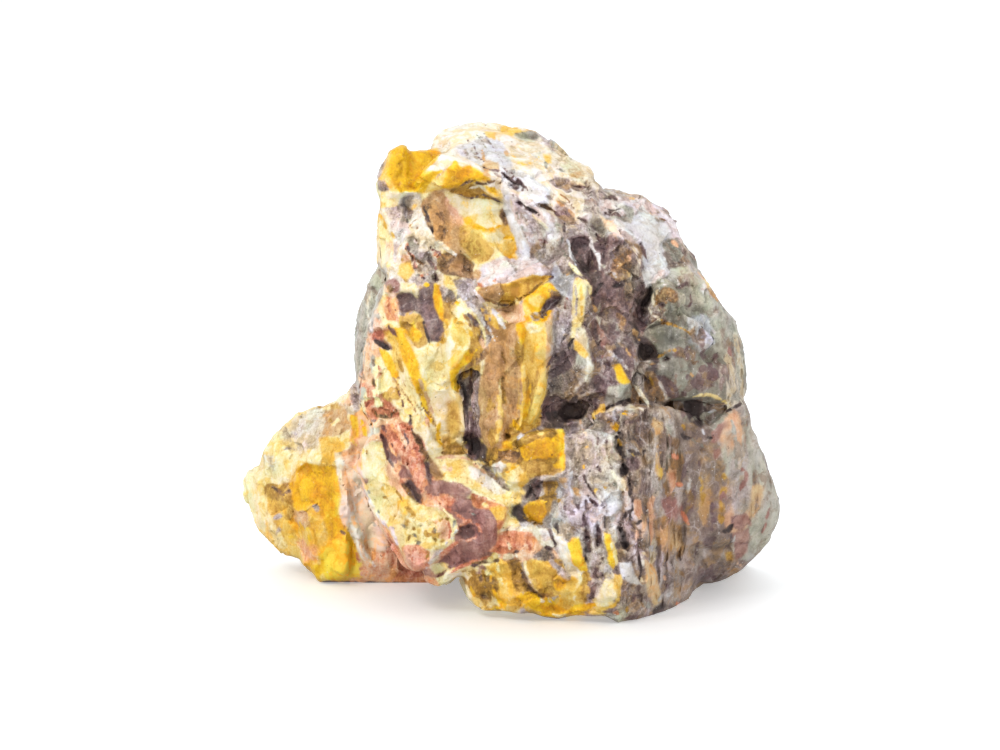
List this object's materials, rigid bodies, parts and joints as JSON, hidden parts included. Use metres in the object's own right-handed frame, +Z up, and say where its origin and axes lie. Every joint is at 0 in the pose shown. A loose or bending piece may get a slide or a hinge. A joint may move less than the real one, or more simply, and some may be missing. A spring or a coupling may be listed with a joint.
{
  "type": "rough jasper stone",
  "caption": "Rough lump of banded jasper, broken all over, with ledges, columns and pits on its front and a low foot at one side, resting on its own flat soles",
  "frame": {"origin": "under the middle of the stone's bounding box, on the table it rests on", "axes": "+Z up, -Y towards the viewer of the broken front face, +X to the viewer's right"},
  "size_m": [0.0872, 0.0542, 0.0737],
  "materials": {
    "jasper": "rough broken jasper, banded mustard, cream, brick red, plum brown and mauve grey, matt with waxy chips"
  },
  "bodies": {
    "root": {"jasper": "jasper"}
  },
  "joints": []
}
